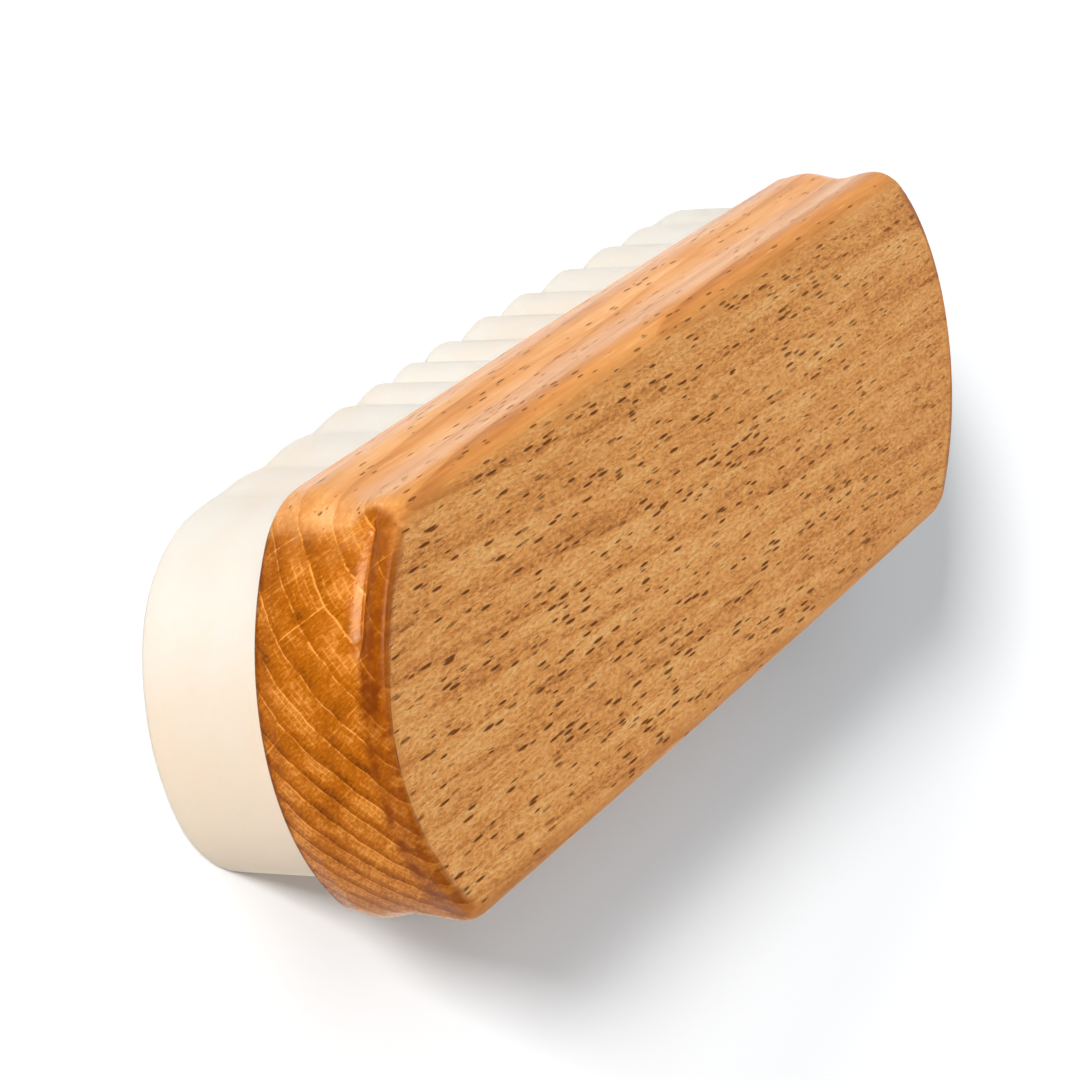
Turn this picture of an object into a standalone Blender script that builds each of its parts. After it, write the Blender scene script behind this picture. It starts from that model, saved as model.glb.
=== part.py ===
"""A suede brush: a moulded beech block that carries a pad of natural crepe rubber.

It stands on the pad's working face, with the block's flat back on top. X runs along the block, Y across
it and Z up, all in metres. Nothing in it moves, so every piece belongs to one rigid body.
"""

import math

import bmesh
import bpy

# The block's plan: both ends bow outwards, and the long sides almost not at all.
BLOCK_LENGTH = 0.130
BLOCK_WIDTH = 0.042
BLOCK_THICKNESS = 0.0133
SIDE_BOW = 0.0004
END_BOW = 0.0098
BASE_CORNER_RADIUS = 0.0089
BACK_CORNER_RADIUS = 0.0048

# The block's moulding, from the underside up: a belly, a cove, and a bead that rolls over onto the back.
BELLY_BULGE = 0.00035
BELLY_HEIGHT = 0.0024
SIDE_COVE_DEPTH = 0.00045
SIDE_COVE_HEIGHT = 0.0070
SIDE_BEAD_HEIGHT = 0.0108
SIDE_ROLL = 0.0019
END_COVE_DEPTH = 0.0015
END_COVE_HEIGHT = 0.0094
END_BEAD_INSET = 0.0008
END_BEAD_HEIGHT = 0.0125
END_ROLL = 0.0005

# The crepe pad: an outer band, and a strip folded to and fro inside it. The folds push the band out into
# flutes, which end some way before the pad's bowed ends.
PAD_HEIGHT = 0.0128
PAD_SIDE_INSET = 0.0016
PAD_END_INSET = 0.0008
PAD_END_BOW = 0.0091
PAD_SIDE_BOW = 0.0022
PAD_CORNER_RADIUS = 0.0144
BAND_THICKNESS = 0.0028
BAND_SEAM = 0.0005
FLUTE_DEPTH = 0.0010
FLUTE_SOFTNESS = 0.16
FLUTE_END_INSET = 0.0187
FOLD_THICKNESS = 0.0026
FOLD_GAP = 0.0017
WORKING_EDGE_RADIUS = 0.0004

# The sheet that closes the pad, and the tacks that pin it to the block.
SHEET_THICKNESS = 0.0020
TACK_LENGTH = 0.0080
TACK_SHANK_RADIUS = 0.0007
TACK_TIP = 0.0016
TACK_HEAD_RADIUS = 0.0017
TACK_HEAD_THICKNESS = 0.0007
TACKS_ALONG = 2
TACKS_ACROSS = 2
TACK_END_INSET = 0.0422
TACK_SIDE_INSET = 0.0114

# The clearance between neighbours that touch or are glued on the real brush.
FIT_GAP = 0.0003

# Limits that keep a fillet inside the outline it rounds, and the distance within which points are merged.
LEAST_FILLET = 0.0002
FILLET_SHARE = 0.8
MERGE_DISTANCE = 0.00005

# How finely curves are cut into straight lines.
END_STEPS = 10
CORNER_STEPS = 7
SIDE_STEPS = 8
MOULDING_STEPS = 9
ROLL_STEPS = 6
FLUTE_STEPS = 8
TURN_STEPS = 8
ROUND_SIDES = 16

PAD_LENGTH = BLOCK_LENGTH - 2 * PAD_END_INSET
PAD_WIDTH = BLOCK_WIDTH - 2 * PAD_SIDE_INSET
FOLD_SPACING = FOLD_THICKNESS + FOLD_GAP
BLOCK_UNDERSIDE = PAD_HEIGHT + FIT_GAP
SHEET_UNDERSIDE = PAD_HEIGHT - SHEET_THICKNESS
FOLD_HEIGHT = SHEET_UNDERSIDE - FIT_GAP

BEECH = ((0.60, 0.31, 0.11), 0.38, 0.0)
CREPE = ((0.86, 0.77, 0.60), 0.62, 0.0)
SHEET_CREPE = ((0.78, 0.66, 0.46), 0.70, 0.0)
STEEL = ((0.58, 0.57, 0.55), 0.35, 1.0)


def clear_scene():
    for obj in list(bpy.data.objects):
        bpy.data.objects.remove(obj, do_unlink=True)


def new_collection(name):
    collection = bpy.data.collections.new(name)
    bpy.context.scene.collection.children.link(collection)
    return collection


def material(name, look):
    color, roughness, metallic = look
    made = bpy.data.materials.new(name)
    made.use_nodes = True
    shader = made.node_tree.nodes["Principled BSDF"]
    shader.inputs["Base Color"].default_value = (*color, 1.0)
    shader.inputs["Roughness"].default_value = roughness
    shader.inputs["Metallic"].default_value = metallic
    return made


def mesh_object(name, bm, collection, height=0.0):
    """A named object from a bmesh, with its origin at the given height on the brush's axis."""
    bmesh.ops.recalc_face_normals(bm, faces=bm.faces)
    mesh = bpy.data.meshes.new(name)
    bm.to_mesh(mesh)
    bm.free()
    obj = bpy.data.objects.new(name, mesh)
    obj.location.z = height
    collection.objects.link(obj)
    return obj


def smooth(obj, sharp_degrees):
    obj.data.shade_smooth()
    obj.data.set_sharp_from_angle(angle=math.radians(sharp_degrees))


def arc_radius(half_chord, bow):
    return (half_chord**2 + bow**2) / (2 * bow)


def arc(center, radius, first, last, steps):
    """Points from the angle first up to, but not including, the angle last."""
    angles = (first + (last - first) * i / steps for i in range(steps))
    return [(center[0] + radius * math.cos(a), center[1] + radius * math.sin(a)) for a in angles]


def plan_quarter(length, width, end_bow, side_bow, corner, inset=0.0):
    """The plan's quarter with x and y above 0, from the tip of the end to the middle of the side.

    It is three arcs: the bowed end, the corner's fillet and the bowed side. The inset moves all three
    inwards by the same distance. A fillet is limited by the arcs that it joins.
    """
    end_radius = arc_radius(width / 2, end_bow)
    side_radius = arc_radius(length / 2, side_bow)
    corner = min(corner, FILLET_SHARE * end_radius, FILLET_SHARE * width / 2)
    end_center = (length / 2 - end_radius, 0.0)
    side_center = (0.0, width / 2 - side_radius)
    # The fillet's centre lies this far from the centres of the two arcs, where two circles cross.
    reach_end = end_radius - corner
    reach_side = side_radius - corner
    span = math.dist(end_center, side_center)
    along = (reach_end**2 - reach_side**2 + span**2) / (2 * span)
    aside = math.sqrt(reach_end**2 - along**2)
    ux = (side_center[0] - end_center[0]) / span
    uy = (side_center[1] - end_center[1]) / span
    fillet = (end_center[0] + ux * along - uy * aside, end_center[1] + uy * along + ux * aside)
    end_turn = math.atan2(fillet[1] - end_center[1], fillet[0] - end_center[0])
    side_turn = math.atan2(fillet[1] - side_center[1], fillet[0] - side_center[0])
    points = arc(end_center, end_radius - inset, 0.0, end_turn, END_STEPS)
    points += arc(fillet, max(corner - inset, LEAST_FILLET), end_turn, side_turn, CORNER_STEPS)
    points += arc(side_center, side_radius - inset, side_turn, math.pi / 2, SIDE_STEPS)
    return points + [(0.0, width / 2 - inset)]


def whole_plan(quarter):
    """The closed outline, anticlockwise from the tip at +X, from its quarter."""
    upper = quarter + [(-x, y) for x, y in reversed(quarter[:-1])]
    return upper + [(x, -y) for x, y in reversed(upper[1:-1])]


def pad_quarter(inset):
    return plan_quarter(PAD_LENGTH, PAD_WIDTH, PAD_END_BOW, PAD_SIDE_BOW, PAD_CORNER_RADIUS, inset)


def half_width(quarter, x):
    """The y of a quarter outline at the distance x from the middle."""
    x = abs(x)
    for (outer_x, outer_y), (inner_x, inner_y) in zip(quarter, quarter[1:]):
        if inner_x <= x <= outer_x:
            share = (outer_x - x) / (outer_x - inner_x)
            return outer_y + (inner_y - outer_y) * share
    return 0.0


def loft(levels):
    """A closed solid through (height, outline) levels whose outlines have the same number of points."""
    bm = bmesh.new()
    rings = [[bm.verts.new((x, y, z)) for x, y in outline] for z, outline in levels]
    for lower, upper in zip(rings, rings[1:]):
        for i, low in enumerate(lower):
            j = (i + 1) % len(lower)
            bm.faces.new((low, lower[j], upper[j], upper[i]))
    bm.faces.new(list(reversed(rings[0])))
    bm.faces.new(rings[-1])
    return bm


def eased(knots, height):
    """A smooth curve through (height, inset) knots, level at each of them."""
    for (low, first), (high, last) in zip(knots, knots[1:]):
        if height <= high:
            share = (height - low) / (high - low)
            return first + (last - first) * (1 - math.cos(math.pi * share)) / 2
    return knots[-1][1]


def moulded(height, cove_height, cove_depth, bead_height, bead_inset, roll):
    """The inset at a height: belly, cove and bead, then a quarter round that rolls onto the back."""
    if height > bead_height:
        rise = min((height - bead_height) / (BLOCK_THICKNESS - bead_height), 1.0)
        return bead_inset + roll * (1 - math.sqrt(1 - rise**2))
    knots = [(0.0, 0.0), (BELLY_HEIGHT, -BELLY_BULGE), (cove_height, cove_depth)]
    return eased(knots + [(bead_height, bead_inset)], height)


def side_inset(height):
    return moulded(height, SIDE_COVE_HEIGHT, SIDE_COVE_DEPTH, SIDE_BEAD_HEIGHT, 0.0, SIDE_ROLL)


def end_inset(height):
    return moulded(height, END_COVE_HEIGHT, END_COVE_DEPTH, END_BEAD_HEIGHT, END_BEAD_INSET, END_ROLL)


def block_outline(height):
    """The block's outline at a height above its underside, with the end's arc drawn between the corners."""
    share = height / BLOCK_THICKNESS
    side = side_inset(height)
    end = end_inset(height)
    corner = BASE_CORNER_RADIUS + (BACK_CORNER_RADIUS - BASE_CORNER_RADIUS) * share
    length = BLOCK_LENGTH - 2 * end
    width = BLOCK_WIDTH - 2 * side
    return whole_plan(plan_quarter(length, width, END_BOW - end + side, SIDE_BOW, corner))


def block_heights():
    """Heights for the block's levels: even steps up to the bead, then closer as the edge rolls over."""
    steps = MOULDING_STEPS
    even = [SIDE_BEAD_HEIGHT * i / steps for i in range(steps + 1)]
    roll = BLOCK_THICKNESS - SIDE_BEAD_HEIGHT
    turns = [math.sin(math.pi / 2 * i / ROLL_STEPS) for i in range(1, ROLL_STEPS + 1)]
    return even + [SIDE_BEAD_HEIGHT + roll * turn for turn in turns]


def spread(count, reach):
    """Evenly spaced places from -reach to reach, or the middle for a count of one."""
    return [reach * (2 * i - count + 1) / max(count - 1, 1) for i in range(count)]


def tack_places():
    along = spread(TACKS_ALONG, PAD_LENGTH / 2 - TACK_END_INSET)
    across = spread(TACKS_ACROSS, PAD_WIDTH / 2 - TACK_SIDE_INSET)
    return [(x, y) for x in along for y in across]


def drill(obj, cutters, name, radius, low, high):
    """Cuts a round hole at each tack, from the height low to the height high, out of obj."""
    for number, (x, y) in enumerate(tack_places(), 1):
        bm = bmesh.new()
        bmesh.ops.create_cone(
            bm,
            cap_ends=True,
            segments=ROUND_SIDES,
            radius1=radius,
            radius2=radius,
            depth=high - low,
        )
        cutter = mesh_object(f"{name}_{number}", bm, cutters)
        cutter.location = (x, y, (low + high) / 2)
        cutter.hide_render = True
        cutter.display_type = "WIRE"
        cut = obj.modifiers.new(cutter.name, "BOOLEAN")
        cut.operation = "DIFFERENCE"
        cut.object = cutter


def wooden_block(parts, cutters):
    levels = [(height, block_outline(height)) for height in block_heights()]
    block = mesh_object("wooden_block", loft(levels), parts, BLOCK_UNDERSIDE)
    block.data.materials.append(material("lacquered_beech", BEECH))
    smooth(block, 40)
    hole_top = SHEET_UNDERSIDE + TACK_LENGTH + FIT_GAP
    hole = TACK_SHANK_RADIUS + FIT_GAP
    drill(block, cutters, "pilot_cutter", hole, BLOCK_UNDERSIDE - FIT_GAP, hole_top)
    return block


def backing_sheet(parts, cutters):
    outline = whole_plan(pad_quarter(BAND_THICKNESS + FLUTE_DEPTH + FIT_GAP))
    bm = loft([(0.0, outline), (SHEET_THICKNESS, outline)])
    sheet = mesh_object("backing_sheet", bm, parts, SHEET_UNDERSIDE)
    sheet.data.materials.append(material("sheet_crepe", SHEET_CREPE))
    hole = TACK_SHANK_RADIUS + FIT_GAP
    recess = TACK_HEAD_RADIUS + FIT_GAP
    ledge = SHEET_UNDERSIDE + TACK_HEAD_THICKNESS + FIT_GAP
    drill(sheet, cutters, "tack_hole_cutter", hole, SHEET_UNDERSIDE - FIT_GAP, PAD_HEIGHT + FIT_GAP)
    drill(sheet, cutters, "tack_recess_cutter", recess, SHEET_UNDERSIDE - FIT_GAP, ledge)
    return sheet


def fold_places():
    """(x, side) of each fold of the strip, where side is 1 at +Y and -1 at -Y."""
    reach = PAD_LENGTH / 2 - BAND_THICKNESS - FIT_GAP - FOLD_SPACING / 2 - FOLD_THICKNESS
    half = int(reach / FOLD_SPACING)
    return [(k * FOLD_SPACING, -1 if k % 2 else 1) for k in range(-half, half + 1)]


def flute_inset(x, side):
    """How far the band is drawn in at x, between the folds that push it out on that side."""
    folds = [place for place, fold_side in fold_places() if fold_side == side]
    pitch = 2 * FOLD_SPACING
    reach = PAD_LENGTH / 2 - FLUTE_END_INSET
    fade = min(max((reach + pitch / 4 - abs(x)) / (pitch / 2), 0.0), 1.0)
    wave = math.cos(math.pi * (x - folds[0]) / pitch)
    softened = math.sqrt(wave**2 + FLUTE_SOFTNESS**2) - FLUTE_SOFTNESS
    return FLUTE_DEPTH * fade * (1 - softened)


def band_path():
    """The band's middle line, from one side of the seam at +X round to the other."""
    quarter = pad_quarter(BAND_THICKNESS / 2)
    flute_step = 2 * FOLD_SPACING / FLUTE_STEPS
    corner_end = END_STEPS + CORNER_STEPS
    straight = quarter[corner_end][0]
    count = int(straight / flute_step)
    xs = [straight - straight * i / count for i in range(2 * count + 1)]
    right = quarter[:corner_end]
    left = [(-x, y) for x, y in reversed(right)]
    upper = right + [(x, half_width(quarter, x) - flute_inset(x, 1)) for x in xs] + left
    lower = right + [(x, half_width(quarter, x) - flute_inset(x, -1)) for x in xs] + left
    path = upper + [(x, -y) for x, y in reversed(lower[:-1])]
    path[0] = (path[0][0], BAND_SEAM / 2)
    path[-1] = (path[-1][0], -BAND_SEAM / 2)
    return path


def fold_path():
    """The folded strip's middle line: straight runs across the pad, joined by half turns."""
    radius = FOLD_SPACING / 2
    turn_inset = BAND_THICKNESS + FIT_GAP + radius + FOLD_THICKNESS / 2
    turns = pad_quarter(turn_inset)
    folds = fold_places()
    first_x, first_side = folds[0]
    last_x, last_side = folds[-1]
    path = [(first_x - radius, -first_side * half_width(turns, first_x))]
    for x, side in folds:
        y = side * half_width(turns, x)
        for i in range(TURN_STEPS + 1):
            angle = math.pi * i / TURN_STEPS
            path.append((x - radius * math.cos(angle), y + side * radius * math.sin(angle)))
    path.append((last_x + radius, -last_side * half_width(turns, last_x)))
    return path


def least_gap(path, thickness):
    """The strip's least gap to itself, measured between its straight runs and turns."""
    nearest = math.inf
    apart = TURN_STEPS + 1
    for i, first in enumerate(path):
        for last in path[i + apart :]:
            nearest = min(nearest, math.dist(first, last))
    return nearest - thickness


def strip(name, path, thickness, height, look, parts):
    """A strip of crepe on edge along a path, from the working face up to a height."""
    bm = bmesh.new()
    low = [bm.verts.new((x, y, 0.0)) for x, y in path]
    high = [bm.verts.new((x, y, height)) for x, y in path]
    for i in range(len(path) - 1):
        bm.faces.new((low[i], low[i + 1], high[i + 1], high[i]))
    obj = mesh_object(name, bm, parts)
    obj.data.materials.append(material(name + "_crepe", look))
    shell = obj.modifiers.new("thickness", "SOLIDIFY")
    shell.thickness = thickness
    shell.offset = 0.0
    shell.use_even_offset = True
    rounding = obj.modifiers.new("edges", "BEVEL")
    rounding.width = WORKING_EDGE_RADIUS
    rounding.segments = 1
    rounding.limit_method = "ANGLE"
    rounding.angle_limit = math.radians(60)
    smooth(obj, 50)
    return obj


def tack(number, place, steel, parts):
    """A turned tack, point up, with its head against the sheet's ledge."""
    shoulder = TACK_HEAD_THICKNESS
    profile = [
        (0.0, TACK_LENGTH),
        (TACK_SHANK_RADIUS, TACK_LENGTH - TACK_TIP),
        (TACK_SHANK_RADIUS, shoulder),
        (TACK_HEAD_RADIUS, shoulder),
        (TACK_HEAD_RADIUS, 0.0),
        (0.0, 0.0),
    ]
    bm = bmesh.new()
    verts = [bm.verts.new((r, 0.0, z)) for r, z in profile]
    for first, last in zip(verts, verts[1:]):
        bm.edges.new((first, last))
    obj = mesh_object(f"tack_{number}", bm, parts)
    obj.location = (*place, SHEET_UNDERSIDE)
    obj.data.materials.append(steel)
    turn = obj.modifiers.new("turn", "SCREW")
    turn.steps = ROUND_SIDES
    turn.render_steps = ROUND_SIDES
    turn.use_merge_vertices = True
    turn.merge_threshold = MERGE_DISTANCE
    return obj


def main():
    clear_scene()
    parts = new_collection("suede_crepe_brush")
    cutters = new_collection("cutters")
    pieces = [wooden_block(parts, cutters), backing_sheet(parts, cutters)]
    band = band_path()
    folds = fold_path()
    pieces.append(strip("crepe_outer_band", band, BAND_THICKNESS, PAD_HEIGHT, CREPE, parts))
    pieces.append(strip("crepe_folded_core", folds, FOLD_THICKNESS, FOLD_HEIGHT, CREPE, parts))
    steel = material("tack_steel", STEEL)
    for number, place in enumerate(tack_places(), 1):
        pieces.append(tack(number, place, steel, parts))
    brush = bpy.data.objects.new("brush", None)
    parts.objects.link(brush)
    for piece in pieces:
        piece.parent = brush
    print(f"folds {len(fold_places())}, least gap {1000 * least_gap(folds, FOLD_THICKNESS):.2f} mm")


main()
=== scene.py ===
"""The looks of the suede brush: lacquered beech over a pad of natural crepe, on a white studio floor."""

import math

import bmesh
import bpy
from mathutils import Matrix, Vector, noise

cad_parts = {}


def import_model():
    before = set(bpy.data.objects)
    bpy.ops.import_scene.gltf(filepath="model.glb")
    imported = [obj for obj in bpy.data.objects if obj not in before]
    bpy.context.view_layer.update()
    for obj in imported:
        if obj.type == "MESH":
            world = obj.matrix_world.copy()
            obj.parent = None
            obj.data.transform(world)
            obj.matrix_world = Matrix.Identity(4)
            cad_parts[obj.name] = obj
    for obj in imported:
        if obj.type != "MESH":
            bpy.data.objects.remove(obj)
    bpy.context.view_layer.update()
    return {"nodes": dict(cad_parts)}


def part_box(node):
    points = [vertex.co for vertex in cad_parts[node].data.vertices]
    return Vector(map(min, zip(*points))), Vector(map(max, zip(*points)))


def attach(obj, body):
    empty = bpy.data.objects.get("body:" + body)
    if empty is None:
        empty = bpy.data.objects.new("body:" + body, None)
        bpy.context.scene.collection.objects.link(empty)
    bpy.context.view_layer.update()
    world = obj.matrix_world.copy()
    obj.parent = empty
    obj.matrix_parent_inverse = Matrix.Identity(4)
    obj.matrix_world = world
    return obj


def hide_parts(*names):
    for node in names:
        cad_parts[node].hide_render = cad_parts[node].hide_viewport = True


MM = 0.001

# The camera stands at the photograph's viewpoint, rolled so that the brush's width runs up the picture.
CAMERA_PLACE = (-0.3097, 0.1123, 0.1963)
CAMERA_AIM = (-0.0234, 0.0051, 0.0200)
CAMERA_UP = (0.3478, 0.9375, -0.0055)
CAMERA_LENS = 120.83
CAMERA_CLIP = 0.01

# The block's plan and moulding. The sizes that the frame gives are read from it.
END_BOW = 9.8 * MM
SIDE_BOW = 0.4 * MM
BASE_CORNER = 8.9 * MM
BACK_CORNER = 4.8 * MM
BELLY_BULGE = 0.35 * MM
BASE_EDGE = 0.30 * MM
BASE_EDGE_INSET = 0.12 * MM
BELLY_HEIGHT = 2.7 * MM
SIDE_COVE_DEPTH = 0.50 * MM
SIDE_COVE_HEIGHT = 7.0 * MM
SIDE_BEAD_HEIGHT = 10.8 * MM
SIDE_ROLL = 1.9 * MM
END_CREASE_DEPTH = 1.9 * MM
END_CREASE_HEIGHT = 10.5 * MM
END_CREASE_TURN = 0.97
END_BEAD_INSET = 0.65 * MM
END_BEAD_HEIGHT = 12.2 * MM
END_ROLL = 0.65 * MM
PLAIN_LEAN = 0.55 * MM
PLAIN_LEAN_CURVE = 1.6
PLAIN_ROLL_HEIGHT = 11.6 * MM
CREASE_REST = 0.05
CREASE_WHOLE = 11.0 * MM
CREASE_GONE = 7.5 * MM

# How far the outline faces along the block, from 0 to 1, where the side's moulding goes over to the end's.
END_MOULDING_STARTS = 0.30
END_MOULDING_WHOLE = 0.88

# The faint waves of the sanded back. They die out towards the sides.
BACK_WAVE = 0.03 * MM
BACK_WAVE_FADES = 4.0 * MM
BACK_WAVES_PER_METRE = (60, 110)
BACK_WAVE_SEED = 3.1

# The crepe pad.
PAD_SIDE_INSET = 1.6 * MM
PAD_END_INSET = 0.8 * MM
PAD_END_BOW = 9.1 * MM
PAD_SIDE_BOW = 2.2 * MM
PAD_CORNER = 14.4 * MM
PAD_FOOT = 0.0
BAND_THICKNESS = 2.8 * MM
BAND_SEAM = 0.2 * MM
FLUTE_DEPTH = 1.0 * MM
FLUTE_SOFTNESS = 0.30
FLUTE_END_INSET = 18.7 * MM
FOLD_THICKNESS = 2.6 * MM
FOLD_SPACING = 4.3 * MM
FOLD_COUNT = 27
FIT_GAP = 0.3 * MM
GLUE_GAP = 0.02 * MM
TACK_HOLE = 1.0 * MM
TACK_RECESS = 2.0 * MM
TACK_RECESS_DEPTH = 1.0 * MM
TACK_REACH = 6.3 * MM
CUT_EDGE = 0.45 * MM
CREPE_WAVE = 0.07 * MM
CREPE_WAVES_PER_METRE = 90
STRIP_SHARP_ANGLE = math.radians(60)
SHEET_SHARP_ANGLE = math.radians(40)

# The flutes grow shallower towards both ends: by how much, and from which x to which.
FLUTE_FADE_NEAR = 0.55
FLUTE_NEAR_FADES = (-8.0 * MM, -32.0 * MM)
FLUTE_FADE_FAR = 0.34
FLUTE_FAR_FADES = (24.0 * MM, 40.0 * MM)

# Where the folds that turn at the +Y side lie along the pad, in millimetres. They are laid one by one, so the
# spacing is uneven, and the folds that turn at the -Y side lie between them. LAID_PLACES has them in metres,
# and EVEN_PLACES says where even spacing would put them.
FOLD_PLACES = (-52.4, -43.3, -33.9, -24.8, -17.4, -10.8, -4.2, 4.6, 13.0, 22.8, 32.4, 41.4, 51.0)
LAID_PLACES = [place * MM for place in FOLD_PLACES]
EVEN_PLACES = [2 * FOLD_SPACING * (i - len(FOLD_PLACES) // 2) for i in range(len(FOLD_PLACES))]

# The studio's light. At level 1 white shows as white.
LAMP_AIM = (0.0, 0.0, 0.01)
WORLD_LIGHT = 0.18
WORLD_TINT = (0.93, 0.99, 1.06, 1.0)
SOFTBOX_TINT = (1.0, 0.92, 0.85)
WHITE = (1.0, 1.0, 1.0, 1.0)

# The floor. It bounces less light than it shows, is painted a little darker in an ellipse round the shadow,
# as painted shade that deepens it, and goes over into plain white far from the brush.
FLOOR_SIZE = 8.0
FLOOR_DROP = 0.1 * MM
FLOOR_BOUNCE = 0.34
FLOOR_SEEN_IN_SHADE = 0.94
FLOOR_SEEN_FAR = 1.11
FLOOR_FADES = 0.20
FLOOR_PLAIN = 0.34
SHADOW_PLACE = (0.020, -0.045, 0.0)
SHADOW_REACH = (0.190, 0.100, 1.0)
SHADOW_CORE = 0.45
SHADOW_RIM = 0.85

# How finely the meshes are cut.
END_STEPS = 50
CORNER_STEPS = 30
SIDE_STEPS = 60
LEVEL_STEP = 0.15 * MM
CAP_ROWS = 24
PATH_STEP = 0.35 * MM
FOLD_STEP = 6 * PATH_STEP
WALL_STEPS = 14
TURN_STEPS = 14
EDGE_STEPS = 4
HOLE_STEPS = 32

# The tree, in millimetres, as the materials measure. Its pith lies far over the +Y side and the back, and is
# turned from the block's length. The flecks and the grit have turns of their own.
PITH_ASIDE = 64.0
PITH_ABOVE = 92.0
PITH_TURN = math.radians(-6.5)
PITH_DISTANCE = 95.0
FLECK_TURN = math.radians(2.5)
GRIT_TURN = math.radians(9.0)
RING_LIMIT = 150.0
RING_START = 60.0
RINGS_PER_FOLD = 23.0
RAY_SPACING = 2.5

# Places on the block, in millimetres.
BLOCK_FOOT = 13.1
BEAD_FOOT = 23.3
END_TIP = 65.0
END_HALF_WIDTH = 21.0
POOL_PLACE = (-64.0, 5.6, 24.8)
POOL_REACH = (3.0, 2.1, 1.4)

# From where to where the wood's looks change, in millimetres: up over the rolled edge, in from the back's
# sides and bowed ends, down the end grain, where its -Y part is also painted lighter as painted light, and
# along the flecks. The end's foot is speckled at its -Y corner.
ROLL_CHANGE = (24.3, 25.5)
BACK_SIDE_CHANGE = (19.8, 17.2)
BACK_END_CHANGE = (0.0, 1.1)
END_CHANGE = (6.0, -5.0)
# Painted light: the end grain is painted lighter from here down towards -Y.
END_PAINTED_LIGHT_CHANGE = (2.0, -15.0)
SPECKLE_HEIGHT_CHANGE = (17.0, 14.0)
SPECKLE_ASIDE_CHANGE = (-8.0, -16.0)
FLECK_CHANGE = (5.0, 60.0)

# How far a surface has to look along the block to count as end grain, and upwards to count as the back.
END_FACING = (0.50, 0.84)
BACK_FACING = (0.84, 0.975)

# The lengths of the wood's spots along each axis, in millimetres.
RING_SWAY = (70, 17, 17)
RING_RIPPLE = (12, 2.2, 2.2)
RAY_SWAY = (6.0, 6.0, 6.0)
RAY_BREAKS = (5.5, 1.4, 5.0)
RAY_GRAIN = (0.55, 0.21, 0.6)
FLECK = (3.7, 0.60, 0.60)
FLECK_BEND = (2.6, 0.7, 0.7)
FLECK_GROUPS = (20, 1.4, 1.4)
FACE_BLOTCH = (5, 2.2, 2.2)
BLOTCH = (16, 4, 4)
FIBRE = (6.0, 0.32, 0.32)
VEIN = (34, 1.7, 1.7)
GRIT = (0.78, 0.34, 0.34)
STREAK = (11, 0.24, 0.24)
# Painted highlights: the thin pale streaks on the sides.
PAINTED_GLINT = (9, 0.22, 0.22)
END_PATCH = (4, 3.2, 3.2)
END_BREAKS = (5, 0.9, 0.9)
END_SPECKLE = (0.34, 0.34, 0.34)
END_SMEAR = (5, 1.3, 1.3)
FOOT_STAIN = (0.8, 0.8, 0.5)

# Painted shade and light on the crepe, in millimetres: it is painted warmer and darker from +Y to -Y, as
# shade, and then paler again at its -Y corner, as painted light.
CREPE_PAINTED_SHADE_CHANGE = (13.0, -9.0)
CREPE_PAINTED_LIGHT_CHANGE = (-9.0, -19.0)

# The lengths of the crepe's and the steel's spots, in millimetres.
CREPE_MOTTLE = (9, 9, 5)
CREPE_HAZE = (26, 26, 16)
CREPE_SPECK = (2.6, 2.6, 2.6)
CREPE_GRAIN = (0.5, 0.5, 0.5)
STEEL_SCRATCH = (0.4, 0.4, 0.05)
STEEL_PATINA = (1.2, 1.2, 1.2)

# The colours, as 0 to 255 on the screen. The woods' tones are dark, middle and pale, the crepes' pale, warm
# and clear. On the crepes the warm tone also carries painted shade towards -Y, and the clear tone is painted
# light at the -Y corner.
BACK_TONES = ((156, 86, 28), (226, 152, 79), (249, 194, 123))
SIDE_TONES = ((170, 96, 34), (222, 149, 78), (252, 198, 138))
END_TONES = ((110, 50, 0), (174, 93, 7), (227, 149, 66))
# The painted shade along the end's bead.
BEAD_SHADE_BROWN = (128, 56, 0)
POOL_BROWN = (108, 42, 0)
FLECK_BROWN = (114, 56, 6)
STAIN_BROWN = (96, 44, 8)
CREPE_TONES_AND_PAINTED_LIGHT = ((224, 218, 208), (225, 206, 184), (246, 225, 196))
SHEET_TONES = ((232, 214, 180), (218, 194, 152), (222, 198, 158))
SPECK_BROWN = (120, 96, 66)
STEEL_DULL = (176, 174, 168)
STEEL_BRIGHT = (206, 205, 202)

# The surfaces. A relief is how high a bump of 1 stands, and the glow is light that sinks into the crepe.
LACQUER_TINT = (1.0, 0.76, 0.50, 1.0)
LACQUER_IOR = 1.20
LACQUER_ROUGHNESS = 0.24
SANDED_ROUGHNESS = 0.50
CREPE_ROUGHNESS = 0.52
WOOD_RELIEF = 0.15 * MM
CREPE_RELIEF = 0.05 * MM
STEEL_RELIEF = 0.01 * MM
CREPE_GLOW = 0.35
CREPE_GLOW_COLOR = (1.0, 0.55, 0.30)
CREPE_GLOW_DEPTH = 1.6 * MM
CREPE_SHINE = 0.35


def srgb(color):
    """A colour given as 0 to 255 on the screen, as Blender's linear numbers."""
    shares = [value / 255 for value in color]
    linear = [s / 12.92 if s <= 0.04045 else ((s + 0.055) / 1.055) ** 2.4 for s in shares]
    return (*linear, 1.0)


def smoothstep(low, high, value):
    """A smooth share, from 0 at low to 1 at high, whichever of the two is larger."""
    share = min(max((value - low) / (high - low), 0.0), 1.0)
    return share * share * (3 - 2 * share)


# Shader helpers.


def new_material(name):
    """A node material and its Principled shader."""
    made = bpy.data.materials.new(name)
    made.use_nodes = True
    return made, made.node_tree, made.node_tree.nodes["Principled BSDF"]


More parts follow.
